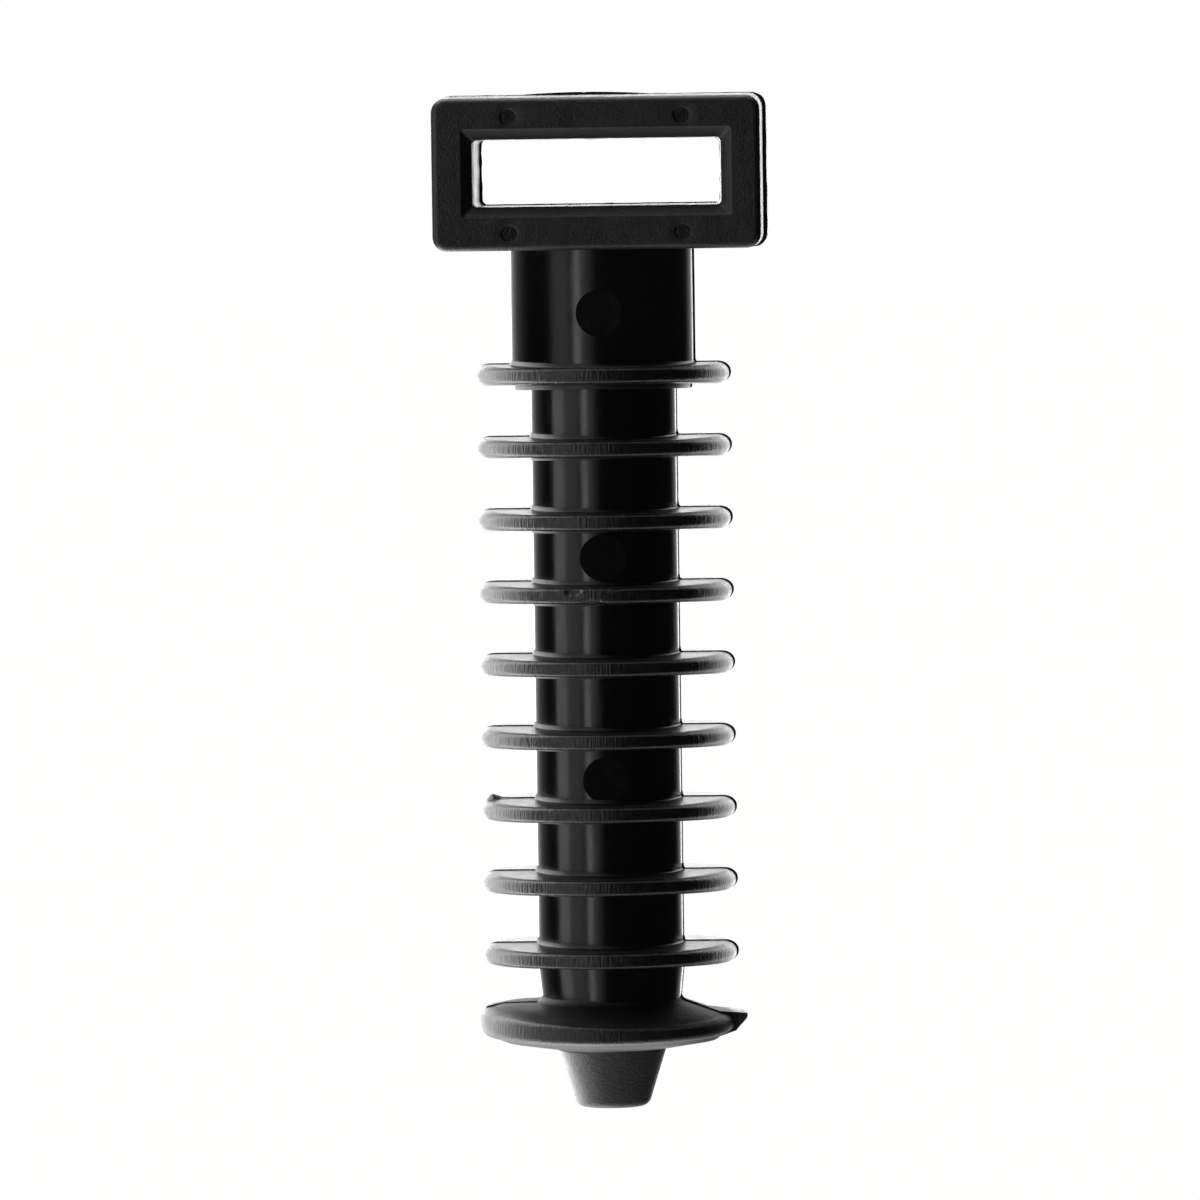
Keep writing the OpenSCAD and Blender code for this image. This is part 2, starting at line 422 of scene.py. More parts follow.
def turned(section, mould, shift, closed, seed=0.0, wobble=0.0, steps=110, dent=None,
           centre=0.0, hold=1.2 * MM):
    """Turns a section about the shank's axis, with the mould's two halves out of line.

    section(theta, side) gives the (radius, height) points of the cut at that angle, for the front
    half (-1) or the back half (1) of the mould. A section that isn't closed starts and ends on the
    axis, and what is nearer the axis than hold is shifted less, so that it closes there. The
    wobble is the slight waviness of a moulded face, and leaves a closed section's root alone.
    dent(theta, r, z), if given, adds to the radius and to the height of a point.
    """
    wave = 3 * MM
    inner_r = 2 * MM
    root_r, root_blend = 3.1 * MM, 1 * MM
    made = bmesh.new()
    rings = []
    for theta, side in columns(steps):
        ring = []
        for r, z in section(theta, side):
            held = ease(r / hold)
            grow = parting_flash(theta, seed, mould) * held
            far = held if r < inner_r or not closed else ease((r - root_r) / root_blend)
            grow += wobble * far * noise.noise(
                Vector((1.7 * math.cos(theta) + seed, 1.7 * math.sin(theta), z / wave)))
            lift = side * mould.rise / 2 * held
            if dent:
                more, up = dent(theta, r, z)
                grow += more
                lift += up
            x = centre + (r + grow) * math.cos(theta) + side * shift / 2 * held
            ring.append(made.verts.new((x, (r + grow) * math.sin(theta), z + lift)))
        rings.append(ring)
    count = len(rings[0])
    for ring, following in zip(rings, rings[1:] + rings[:1]):
        for i in range(count if closed else count - 1):
            j = (i + 1) % count
            made.faces.new((ring[i], following[i], following[j], ring[j]))
    bmesh.ops.remove_doubles(made, verts=made.verts, dist=1e-3 * MM)
    return made


def arc(centre, radius, start, end, steps):
    """(r, z) points of an arc, in degrees."""
    return [(centre[0] + radius * math.cos(math.radians(start + (end - start) * i / steps)),
             centre[1] + radius * math.sin(math.radians(start + (end - start) * i / steps)))
            for i in range(steps + 1)]


def between(a, b, steps):
    """Points strictly between two points."""
    return [(a[0] + (b[0] - a[0]) * i / steps, a[1] + (b[1] - a[1]) * i / steps)
            for i in range(1, steps)]


# ---------------------------------------------------------------- head


def outline(left, right, low, high, radius):
    """Points round a rectangle with rounded corners, the same count whatever its size."""
    corner_steps, level_steps, upright_steps = 8, 26, 12
    centres = [(right - radius, high - radius), (left + radius, high - radius),
               (left + radius, low + radius), (right - radius, low + radius)]
    bends = [arc(centre, radius, 90 * i, 90 * i + 90, corner_steps)
             for i, centre in enumerate(centres)]
    points = []
    for i, bend in enumerate(bends):
        following = bends[(i + 1) % len(bends)][0]
        points += bend + between(bend[-1], following, upright_steps if i % 2 else level_steps)
    return points


def head_rings(head, mould, low, high, side):
    """Outlines of one half of the head, from the parting line to its face, then into the slot.

    At the front half the top steps down by a share of the rise. The slot's top and bottom have a
    quarter of its sides' draft. The flash stands on a narrow ridge beside the parting line.
    """
    depth = high.y
    flash_room = 2.4 * mould.flash
    half_w = high.x - mould.head_back - flash_room
    shift = mould.head_back if side > 0 else mould.head_front
    lift = 0 if side > 0 else -mould.rise
    top_share = 0.3
    slot_off = 0.01 * MM
    height_draft = 0.25
    ridge = 0.05 * MM
    lip = 0.04 * MM
    side_steps, edge_steps = 6, 7

    def outer(y, inward, edge_in):
        side_in = head.side_draft * inward + edge_in
        return (y, outline(shift - half_w + side_in, shift + half_w - side_in, low.z + edge_in,
                           high.z + top_share * lift - head.top_draft * inward - edge_in,
                           max(head.corner - edge_in, 0.1 * MM)))

    mid_x = side * head.slot_shift / 2 + slot_off

    def inner(y, grow, radius):
        tall = head.slot_h / 2 + grow - (1 - height_draft) * min(grow, head.slot_draft)
        return (y, outline(mid_x - head.slot_w / 2 - grow, mid_x + head.slot_w / 2 + grow,
                           lift + head.slot_z - tall, lift + head.slot_z + tall, radius))

    over = [outer(0, 0, -0.8 * mould.flash), outer(0.4 * ridge, 0, -0.2 * mould.flash),
            outer(ridge, 0, 0)]
    straight = depth - head.edge
    for i in range(1, side_steps + 1):
        over.append(outer(straight * i / side_steps, i / side_steps, 0))
    for i in range(1, edge_steps + 1):
        bend = math.pi / 2 * i / edge_steps
        over.append(outer(straight + head.edge * math.sin(bend), 1,
                          head.edge * (1 - math.cos(bend))))
    over.append(outer(depth, 1, head.edge + 0.015 * MM))
    mouth = head.slot_draft + head.funnel
    throat = depth - head.funnel
    # Five outlines round the mouth's lip, then three round the bevel's inner edge.
    into = [inner(depth, mouth + lip, 0.16 * MM),
            inner(depth, mouth + 0.6 * lip, 0.15 * MM),
            inner(depth - 0.15 * lip, mouth + 0.2 * lip, 0.14 * MM),
            inner(depth - 0.5 * lip, mouth - 0.3 * lip, 0.13 * MM),
            inner(depth - 0.9 * lip, mouth - 0.8 * lip, 0.13 * MM),
            inner(throat + 0.6 * lip, head.slot_draft + 0.7 * lip, 0.16 * MM),
            inner(throat + 0.1 * lip, head.slot_draft + 0.3 * lip, 0.16 * MM),
            inner(throat - 0.5 * lip, head.slot_draft, 0.17 * MM)]
    for share in (0.75, 0.5, 0.25):
        into.append(inner(throat * share, head.slot_draft * share, 0.2 * MM))
    into += [inner(ridge, 0, 0.22 * MM), inner(0, -0.8 * mould.flash, 0.22 * MM)]

    def placed(rings):
        return [[(x, side * y, z) for x, z in points] for y, points in rings]

    return placed(over), placed(into)


def bridge(made, ring, following):
    """Faces from one closed ring of vertices to the next."""
    for i in range(len(ring)):
        j = (i + 1) % len(ring)
        made.faces.new((ring[i], ring[j], following[j], following[i]))


def circle(made, x, y, z, radius, steps=40):
    """A ring of new vertices round a point of a face that looks along Y."""
    turns = [2 * math.pi * i / steps for i in range(steps)]
    return [made.verts.new((x + radius * math.cos(a), y, z + radius * math.sin(a)))
            for a in turns]


def flat_points(ring):
    """The places of a ring's vertices on a face that looks along Y."""
    return [Vector((vert.co.x, vert.co.z)) for vert in ring]


def span(points):
    """Lowest and highest corner of the box round some flat points."""
    return (Vector((min(p.x for p in points), min(p.y for p in points))),
            Vector((max(p.x for p in points), max(p.y for p in points))))


def inside(point, ring):
    """Whether a point lies in a closed ring of points."""
    within = False
    for a, b in zip(ring, ring[1:] + ring[:1]):
        if (a.y > point.y) != (b.y > point.y):
            if point.x < a.x + (b.x - a.x) * (point.y - a.y) / (b.y - a.y):
                within = not within
    return within


def fill_face(made, outer, inner, pins, pin_r, pin_depth):
    """Fills a flat face between two loops of vertices, with a pin mark at each pin.

    Points of a square grid between the loops keep the face's triangles small and even.
    """
    y = outer[0].co.y
    lip = 0.035 * MM
    grid = 0.35 * MM
    clear = 0.4 * grid
    marks = [circle(made, x, y, z, pin_r + lip) for x, z in pins]
    loops = [outer, inner, *marks]
    flat = [vert for loop in loops for vert in loop]
    edges = []
    for loop in loops:
        start = len(edges)
        edges += [(start + i, start + (i + 1) % len(loop)) for i in range(len(loop))]
    where = flat_points(flat)
    low, high = span(where)
    rim, hole = flat_points(outer), flat_points(inner)
    hole_low, hole_high = span(hole)

    def by_hole(point, gap):
        return (hole_low.x - gap < point.x < hole_high.x + gap
                and hole_low.y - gap < point.y < hole_high.y + gap)

    def by_pin(point, reach):
        return any(math.hypot(point.x - x, point.y - z) < reach for x, z in pins)

    def by_edge(point):
        return min(*(point - low), *(high - point)) < 1.2 * grid

    extra = []
    for i in range(1, int((high.x - low.x) / grid)):
        for j in range(1, int((high.y - low.y) / grid)):
            point = Vector((low.x + grid * i, low.y + grid * j))
            if not (by_hole(point, clear) or by_pin(point, pin_r + lip + clear)
                    or by_edge(point)):
                extra.append(point)
    verts, _, faces, origins, _, _ = geometry.delaunay_2d_cdt(where + extra, edges, [], 0, 1e-9)
    known = flat + [made.verts.new((point.x, y, point.y)) for point in extra]
    used = [known[origin[0]] for origin in origins]
    for face in faces:
        middle = sum((verts[i] for i in face), Vector((0, 0))) / len(face)
        in_hole = by_hole(middle, 0) and inside(middle, hole)
        if not in_hole and not by_pin(middle, pin_r + 0.9 * lip) and inside(middle, rim):
            made.faces.new([used[i] for i in face])
    for (x, z), mark in zip(pins, marks):
        sink_mark(made, x, z, mark, pin_r, lip, pin_depth)


def sink_mark(made, x, z, ring, pin_r, lip, pin_depth):
    """Sinks a pin mark into a face, from its outer ring down a rounded lip to a flat floor."""
    polished = made.verts.layers.float["polished"]
    y = ring[0].co.y
    inward = -math.copysign(1, y)
    # Each step down: (lip widths outside the pin's radius, share of the mark's depth).
    for out, deep in [(0.6, 0.02), (0.3, 0.12), (0.0, 0.4), (-0.25, 0.75), (-0.6, 0.95),
                      (-1.1, 1.0), (-1.7, 1.0)]:
        following = circle(made, x, y + inward * pin_depth * deep, z, pin_r + out * lip)
        for vert in following:
            vert[polished] = 1 if deep > 0.9 else 0
        bridge(made, ring, following)
        ring = following
    made.faces.new(ring)


class ANCHOR_OT_head(bpy.types.Operator):
    """Builds the eyelet head: drafted block, through slot with funnels, flash and pin marks"""
    bl_idname = "anchor.head"
    bl_label = "Eyelet head"

    def execute(self, context):
        settings = context.scene.tie_anchor
        head, mould = settings.head, settings.mould
        low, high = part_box("eyelet_head")
        made = bmesh.new()
        made.verts.layers.float.new("polished")
        jag_height, jag_length = 3.2 * mould.flash, 0.3 * MM

        def lay(rings):
            laid = []
            for points in rings:
                ring = []
                for x, y, z in points:
                    on_parting_line = abs(y) < 0.01 * MM
                    jag = on_parting_line * jag_height * noise.noise(
                        Vector((x / jag_length, z / jag_length, 5.0)))
                    away = Vector((x, 0, z - head.slot_z)).normalized()
                    ring.append(made.verts.new((x + away.x * jag, y, z + away.z * jag)))
                laid.append(ring)
            return laid

        halves = []
        for side in (-1, 1):
            over, into = head_rings(head, mould, low, high, side)
            over, into = lay(over), lay(into)
            for rings in (over, into):
                for ring, following in zip(rings, rings[1:]):
                    bridge(made, ring, following)
            pins = []
            if side < 0:
                pins = [(mould.head_front + x * head.pin_x, z)
                        for x in (-1, 1) for z in (head.pin_low, head.pin_top)]
            fill_face(made, over[-1], into[0], pins, head.pin_r, head.pin_depth)
            halves.append((over[0], into[-1]))
        for front, back in zip(*halves):
            bridge(made, front, back)
        finish_piece(made, "head_eyelet", spark_eroded_nylon(settings.finish),
                     ["eyelet_head"], sharp_degrees=50)
        return {"FINISHED"}


class ANCHOR_OT_strike_pad(bpy.types.Operator):
    """Builds the low dome on top of the head"""
    bl_idname = "anchor.strike_pad"
    bl_label = "Strike pad"

    def execute(self, context):
        settings = context.scene.tie_anchor
        head, mould = settings.head, settings.mould
        low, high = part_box("strike_pad")
        radius = (high.x - low.x) / 2
        centre = (high.x + low.x) / 2
        head_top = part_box("eyelet_head")[1].z
        rise = high.z - head_top - head.pad_low
        dome = (radius ** 2 + rise ** 2) / (2 * rise)
        spread = math.degrees(math.asin(radius / dome))
        crown = arc((0, head_top + rise - dome), dome, 90 - spread, 90, 16)
        foot_inset = 0.1 * MM
        foot = [(0, low.z), (radius - foot_inset, low.z)]

        def section(theta, side):
            sunk = (1 - side) / 2 * head.pad_step
            return foot + [(r, z - mould.rise / 2 - sunk) for r, z in crown]

        made = turned(section, mould, 0, closed=False, seed=90.0, centre=centre, hold=0.15 * MM)
        finish_piece(made, "head_strike_pad", spark_eroded_nylon(settings.finish),
                     ["strike_pad"])
        return {"FINISHED"}


# ---------------------------------------------------------------- shank


class ANCHOR_OT_collar(bpy.types.Operator):
    """Builds the smooth collar under the head, with its pin mark"""
    bl_idname = "anchor.collar"
    bl_label = "Collar"

    def execute(self, context):
        settings = context.scene.tie_anchor
        low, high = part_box("collar")
        mould = settings.mould
        radius = high.y
        ends = [(radius, low.z), (radius, high.z)]
        section = [(0, low.z), ends[0], *between(*ends, 12), ends[1], (0, high.z)]
        made = turned(lambda theta, side: section, mould, mould.core_shift, closed=False,
                      seed=1.0, wobble=0.003 * MM)
        piece = finish_piece(made, "shank_collar", polished_nylon(settings.finish),
                             ["collar"])
        shank = settings.shank
        cut(piece, [pin_cutter(shank.pin_r, radius, shank.pin_collar)], sharp_degrees=11)
        link_light("side_card", piece, "EXCLUDE")
        return {"FINISHED"}


class ANCHOR_OT_core(bpy.types.Operator):
    """Builds the round core that carries the fins, with its pin marks"""
    bl_idname = "anchor.core"
    bl_label = "Core"

    def execute(self, context):
        settings = context.scene.tie_anchor
        shank, mould = settings.shank, settings.mould
        low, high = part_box("core")
        radius = high.y
        last_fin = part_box(FIN_NODES[-1])[0].z
        straight = [(radius, last_fin), (radius, high.z)]
        taper = [(radius - shank.core_taper / 2, low.z), straight[0]]
        section = [(0, low.z), taper[0], *between(*taper, 4), straight[0],
                   *between(*straight, 60), straight[1], (0, high.z)]
        made = turned(lambda theta, side: section, mould, mould.core_shift / 2, closed=False,
                      seed=2.0, wobble=0.003 * MM)
        piece = finish_piece(made, "shank_core", polished_nylon(settings.finish),
                             ["core"])
        heights = (shank.pin_upper, shank.pin_lower)
        cut(piece, [pin_cutter(shank.pin_r, radius, z) for z in heights], sharp_degrees=11)
        return {"FINISHED"}


def fin_half(shank, r, theta, radius):
    """Half thickness of a drafted fin where the ray at angle theta has run out to r."""
    off = abs(r * math.sin(theta)) / radius
    return shank.fin_t / 2 - (shank.fin_t - shank.fin_tip_t) / 2 * off


def rounded_rim(radius, reach, middle, half, bend, steps=9):
    """Section of a rim: a quarter ellipse, a short flat and another quarter ellipse."""
    upper = [(radius - reach + reach * math.sin(a), middle + half - bend + bend * math.cos(a))
             for a in (math.pi / 2 * i / steps for i in range(steps + 1))]
    lower = [(r, 2 * middle - z) for r, z in reversed(upper)]
    return upper + between(upper[-1], lower[0], 4) + lower


def fin_section(shank, radius, root, upper_root, centre, theta, boss):
    """Section of one fin at an angle: root fillets, drafted flanks and a rounded rim.

    The rim is flat with small rounded edges at the front, and fully round at the parting line.
    The first fin has a boss under it, of the given radius, in place of its lower fillet.
    """
    sunk = 0.06 * MM
    tuck = 0.002 * MM
    slim = 0.35

    def half(r):
        return fin_half(shank, r, theta, radius)

    up, down = shank.upper_fillet, shank.lower_fillet
    top_r, low_r = upper_root + slim * up, root + slim * down
    top_root = [(top_r + slim * up * math.cos(a) - tuck,
                 centre + half(top_r) + up + up * math.sin(a))
                for a in (math.radians(180 + 90 * i / 8) for i in range(9))]
    if boss:
        under = centre - half(boss)
        foot = under - shank.boss_drop
        soft = 0.03 * MM
        low_root = [(boss, under), (boss, foot + soft), (boss - 0.3 * soft, foot + 0.3 * soft),
                    (boss - soft, foot)]
    else:
        low_root = [(low_r + slim * down * math.cos(a) - tuck,
                     centre - half(low_r) - down + down * math.sin(a))
                    for a in (math.radians(90 + 90 * i / 6) for i in range(7))]
    side_on = math.cos(theta) ** 2
    reach = shank.fin_edge + (shank.fin_round - shank.fin_edge) * side_on
    bend = shank.fin_edge + (half(radius) - 0.01 * MM - shank.fin_edge) * side_on
    middle = centre + shank.rim_lift * max(-math.sin(theta), 0)
    rim = rounded_rim(radius, reach, middle, half(radius), bend)
    return ([(upper_root - sunk, top_root[0][1])] + top_root
            + between(top_root[-1], rim[0], 6) + rim + between(rim[-1], low_root[0], 6)
            + low_root + [(root - sunk, low_root[-1][1])])


def nicks(theta, r, z, middle, radius):
    """Shallow scoops torn out of the edges of one rim's front.

    Each scoop's place along and up the rim, and its half sizes, are in millimetres.
    """
    front = math.radians(266.4)
    scoops = [dict(at=-0.85, height=0.32, long=0.38, tall=0.3),
              dict(at=0.15, height=-0.34, long=0.55, tall=0.26),
              dict(at=0.6, height=0.36, long=0.3, tall=0.2)]
    deepest, reach, fade = 0.1 * MM, 0.5 * MM, 0.4 * MM
    tear = 0.15 * MM
    along = (theta - front) * radius
    up = z - middle
    torn = 0.35 * noise.noise(Vector((along / tear, up / tear, 4.4)))
    deep = 0
    for scoop in scoops:
        off = torn + math.hypot(
            (along - scoop["at"] * MM - 0.5 * up) / (scoop["long"] * MM),
            (up - scoop["height"] * MM) / (scoop["tall"] * MM))
        deep = max(deep, ease((1.1 - off) / 0.6))  # full depth by half way in
    return -deepest * deep * ease((r - radius + reach) / fade), 0


def lump(theta, r, z, middle, radius):
    """A small lump of excess plastic on the left of one fin's top."""
    left = math.radians(183)
    inset, height, size = 0.45 * MM, 0.2 * MM, 0.6 * MM
    apart = math.hypot((theta - left) * radius, 1.4 * (r - radius + inset))
    return 0, height * ease(1 - apart / size) if z > middle else 0


class ANCHOR_OT_fins(bpy.types.Operator):
    """Builds the nine equal fins"""
    bl_idname = "anchor.fins"
    bl_label = "Fins"

    def execute(self, context):
        settings = context.scene.tie_anchor
        shank, mould = settings.shank, settings.mould
        material = turned_nylon(settings.finish)
        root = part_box("core")[1].y
        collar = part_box("collar")[1].y
        flaws = {4: nicks, 7: lump}
        # A fin's node ends at the foot of its fillet. That and its draft give the fin's middle.
        cad_fillet, cad_draft = 0.18 * MM, 0.17 * MM
        for number, node in enumerate(FIN_NODES, start=1):
            low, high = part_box(node)
            cad_r = high.x
            thick = shank.fin_t - cad_draft * (root + cad_fillet) / cad_r
            centre = low.z + cad_fillet + thick / 2
            upper_root = collar if number == 1 else root
            radius = cad_r - mould.fin_shift / 2 - mould.flash
            flaw = flaws.get(number)

            def section(theta, side, radius=radius, upper_root=upper_root, centre=centre):
                boss = shank.boss_r if upper_root > root else 0
                return fin_section(shank, radius, root, upper_root, centre, theta, boss)

            def dent(theta, r, z, centre=centre, radius=radius, flaw=flaw):
                return flaw(theta, r, z, centre, radius)

            made = turned(section, mould, mould.fin_shift, closed=True,
                          seed=10.0 + 3.7 * number, wobble=0.02 * MM,
                          steps=220 if flaw else 130, dent=dent if flaw else None)
            piece = finish_piece(made, f"shank_{node}", material, [node])
            link_light("side_card", piece, "EXCLUDE")
            link_light("left_rim_card", piece, "INCLUDE")
            link_light("right_rim_card", piece, "INCLUDE")
        return {"FINISHED"}


class ANCHOR_OT_lead_fin(bpy.types.Operator):
    """Builds the larger barbed fin that enters the hole first"""
    bl_idname = "anchor.lead_fin"
    bl_label = "Lead fin"

    def execute(self, context):
        settings = context.scene.tie_anchor
        shank, mould = settings.shank, settings.mould
        low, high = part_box("lead_fin")
        core_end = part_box("core")[1].y - shank.core_taper / 2
        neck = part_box("tip")[1].y
        outer = high.x - mould.core_shift / 2 - mould.flash
        tuck = 0.002 * MM
        # The rim's radius: how far the front half stands in, and the back half out and in.
        front_in, front_uneven = 0.28 * MM, 0.17 * MM
        barb_out, back_in = 0.04 * MM, 0.12 * MM
        # The rim's rounding, its lean from left to right and the slope under the barb.
        front_round, side_round, back_round = 0.2 * MM, 0.26 * MM, 0.12 * MM
        front_bend = 0.2 * MM
        lean, droop, slope = 0.09 * MM, 0.1 * MM, 0.22 * MM
        # The cone above the rim and the underside, from the outside in.
        cone_r, cone_up, cone_lean = 4.2 * MM, 0.1 * MM, 0.03 * MM
        root_up, root_fillet = 0.14 * MM, 0.3 * MM
        under_down = 0.2 * MM
        belly_out, belly_up = 0.8 * MM, 0.36 * MM
        neck_out, neck_up, neck_fillet = 0.2 * MM, 0.19 * MM, 0.12 * MM

        def section(theta, side):
            leftward = -math.cos(theta)
            front_on = math.sin(theta) ** 2
            if side < 0:
                radius = outer - front_in + front_uneven * leftward
                reach = front_round + side_round * (1 - front_on)
            else:
                radius = outer + barb_out * (1 - leftward) - back_in * (1 + leftward)
                reach = back_round
            high_rim = shank.lead_thick + (shank.lead_front - shank.lead_thick) * front_on
            half = (high_rim + shank.lead_uneven * leftward) / 2
            middle = shank.lead_middle + lean * leftward - droop * front_on
            bend = front_bend + (half - front_bend - 0.01 * MM) * (1 - front_on)
            rim = rounded_rim(radius, reach, middle, half, bend)
            if side > 0:
                slant = slope * (1 - leftward)
                rim = [(r - slant * ease((rim[0][1] - z) / (2 * half)), z) for r, z in rim]
            shoulder = (cone_r, rim[0][1] + cone_up * (1 + front_on) + cone_lean * leftward)
            root = arc((core_end + root_fillet - tuck, high.z + root_up), root_fillet, 180, 250, 6)
            under = (cone_r, rim[-1][1] - under_down)
            belly = (neck + belly_out, low.z + belly_up)
            neck_arc = arc((neck + neck_out, low.z + neck_up), neck_fillet, 110, 180, 6)
            return ([(0, root[0][1])] + root + between(root[-1], shoulder, 5) + [shoulder]
                    + between(shoulder, rim[0], 4) + rim + between(rim[-1], under, 4) + [under]
                    + between(under, belly, 5) + [belly] + between(belly, neck_arc[0], 4)
                    + neck_arc + [(0, neck_arc[-1][1])])

        made = turned(section, mould, mould.core_shift, closed=False, seed=60.0,
                      wobble=0.03 * MM, steps=130)
        piece = finish_piece(made, "shank_lead_fin", blasted_nylon(settings.finish),
                             ["lead_fin"])
        link_light("lead_card", piece, "INCLUDE")
        return {"FINISHED"}


class ANCHOR_OT_tip(bpy.types.Operator):
    """Builds the blunt tapered nose"""
    bl_idname = "anchor.tip"
    bl_label = "Tip"

    def execute(self, context):
        settings = context.scene.tie_anchor
        shank, mould = settings.shank, settings.mould
        low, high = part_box("tip")
        bottom = low.z + mould.rise / 2
        top_r = high.y
        end_r = shank.tip_end_d / 2
        rake = math.degrees(math.atan((top_r - end_r) / (high.z - bottom)))
        inset = shank.tip_round * math.tan(math.radians((90 - rake) / 2))
        centre = (end_r - inset, bottom + shank.tip_round)
        end = arc(centre, shank.tip_round, -90, -rake, 8)
        above = 0.3 * MM
        shift = 0.02 * MM
        top = (top_r + above * math.tan(math.radians(rake)), high.z + above)
        section = ([(0, bottom)] + between((0, bottom), end[0], 6) + end
                   + between(end[-1], top, 8) + [top, (0, top[1])])
        made = turned(lambda theta, side: section, mould, shift, closed=False, seed=80.0,
                      wobble=0.03 * MM)
        piece = finish_piece(made, "shank_tip", grainy_nylon(settings.finish),
                             ["tip"])
        link_light("tip_card", piece, "INCLUDE")
        return {"FINISHED"}


# ---------------------------------------------------------------- stage


def soft_box(tree, turn, rise, azimuth, elevation, half_width, half_height, soft, level):
    """Light from one soft box, in degrees seen from the anchor, with edges that fade out.

    Azimuths run from the camera's side, to the right; elevations run up from the horizon.
    """
    off = add_node(
        tree, "ShaderNodeMath", {0: turn, 1: math.radians(azimuth)}, operation="SUBTRACT")
    across = add_node(
        tree, "ShaderNodeMath", {0: off.outputs[0], 1: math.pi}, operation="PINGPONG")
    over = add_node(
        tree, "ShaderNodeMath", {0: rise, 1: math.radians(elevation)}, operation="SUBTRACT")
    above = add_node(tree, "ShaderNodeMath", {0: over.outputs[0]}, operation="ABSOLUTE")
    shares = [
        add_node(
            tree, "ShaderNodeMapRange",
            {"Value": angle_off.outputs[0], "From Min": math.radians(half + soft),
             "From Max": math.radians(half - soft)},
            interpolation_type="SMOOTHSTEP").outputs["Result"]
        for angle_off, half in ((across, half_width), (above, half_height))]
    both = add_node(tree, "ShaderNodeMath", {0: shares[0], 1: shares[1]}, operation="MULTIPLY")
    return add_node(
        tree, "ShaderNodeMath", {0: both.outputs[0], 1: level}, operation="MULTIPLY").outputs[0]


def studio_light(world, azimuth):
    """A glowing backdrop and table, soft boxes on the left, and a dark room in front.

    The boxes are, in turn: the backdrop's middle, its faint outer part, and its left end; the lit
    table behind, and a box over the back; a low and a high box on the left; the narrow box that
    draws the bright band down the shank, the glow beside it, and a fainter band further round;
    the table, the ceiling, and the room's own faint light.
    """
    world.use_nodes = True
    tree = world.node_tree
    tree.nodes.clear()
    ray = add_node(tree, "ShaderNodeTexCoord").outputs["Generated"]
    split = add_node(tree, "ShaderNodeSeparateXYZ", {"Vector": ray})
    front = add_node(
        tree, "ShaderNodeMath", {0: split.outputs["Y"], 1: -1.0}, operation="MULTIPLY")
    heading = add_node(
        tree, "ShaderNodeMath", {0: split.outputs["X"], 1: front.outputs[0]}, operation="ARCTAN2")
    turn = add_node(
        tree, "ShaderNodeMath", {0: heading.outputs[0], 1: azimuth},
        operation="SUBTRACT").outputs[0]
    rise = add_node(
        tree, "ShaderNodeMath", {0: split.outputs["Z"]}, operation="ARCSINE").outputs[0]
    boxes = [
        dict(azimuth=180, elevation=0, half_width=18, half_height=14, soft=7, level=6.0),
        dict(azimuth=180, elevation=0, half_width=36, half_height=22, soft=13, level=0.6),
        dict(azimuth=-142, elevation=0, half_width=20, half_height=30, soft=18, level=0.25),
        dict(azimuth=-160, elevation=-60, half_width=38, half_height=22, soft=10, level=4.0),
        dict(azimuth=180, elevation=62, half_width=48, half_height=20, soft=8, level=2.2),
        dict(azimuth=-115, elevation=-62, half_width=38, half_height=18, soft=10, level=5.0),
        dict(azimuth=-115, elevation=62, half_width=38, half_height=18, soft=10, level=4.0),
        dict(azimuth=-31.5, elevation=0, half_width=4.2, half_height=45, soft=2.5, level=2.1),
        dict(azimuth=-21, elevation=0, half_width=6, half_height=45, soft=8, level=0.5),
        dict(azimuth=-54, elevation=0, half_width=12, half_height=45, soft=4, level=0.55),
        dict(azimuth=0, elevation=-90, half_width=180, half_height=48, soft=14, level=1.0),
        dict(azimuth=0, elevation=90, half_width=180, half_height=38, soft=12, level=0.7),
        dict(azimuth=0, elevation=0, half_width=180, half_height=90, soft=1, level=0.02),
    ]
    total = None
    for box in boxes:
        light = soft_box(tree, turn, rise, **box)
        if total is not None:
            light = add_node(tree, "ShaderNodeMath", {0: total, 1: light}).outputs[0]
        total = light
    glow = add_node(tree, "ShaderNodeBackground", {"Color": (1, 1, 1, 1), "Strength": total})
    plain = add_node(
        tree, "ShaderNodeBackground", {"Color": (1, 1, 1, 1), "Strength": 1.0})
    seen = add_node(tree, "ShaderNodeLightPath").outputs["Is Camera Ray"]
    both = add_node(
        tree, "ShaderNodeMixShader", {0: seen, 1: glow.outputs[0], 2: plain.outputs[0]})
    add_node(tree, "ShaderNodeOutputWorld", {"Surface": both.outputs[0]})


def make_card(name, azimuth, width, glow):
    """A tall lit card beside the anchor. Its glow is the light that each part of it gives off."""
    tall, away, middle = 110 * MM, 60 * MM, -14 * MM
    data = bpy.data.lights.new(name, "AREA")
    data.shape = "RECTANGLE"
    data.size = width
    data.size_y = tall
    data.energy = glow * math.pi * data.size * data.size_y
    card = bpy.data.objects.new(name, data)
    bpy.context.scene.collection.objects.link(card)
    place = Vector((away * math.sin(azimuth), -away * math.cos(azimuth), middle))
    face = Vector((place.x, place.y, 0)).to_track_quat("Z", "Y").to_matrix().to_4x4()
    card.matrix_world = Matrix.Translation(place) @ face
    card.visible_camera = False


def link_light(name, piece, state):
    """Keeps a piece out of a light's reach (EXCLUDE), or lights only such pieces (INCLUDE)."""
    light = bpy.data.objects[name].light_linking
    if light.receiver_collection is None:
        light.receiver_collection = bpy.data.collections.new(name + " reach")
    reach = light.receiver_collection
    reach.objects.link(piece)
    reach.collection_objects[-1].light_linking.link_state = state


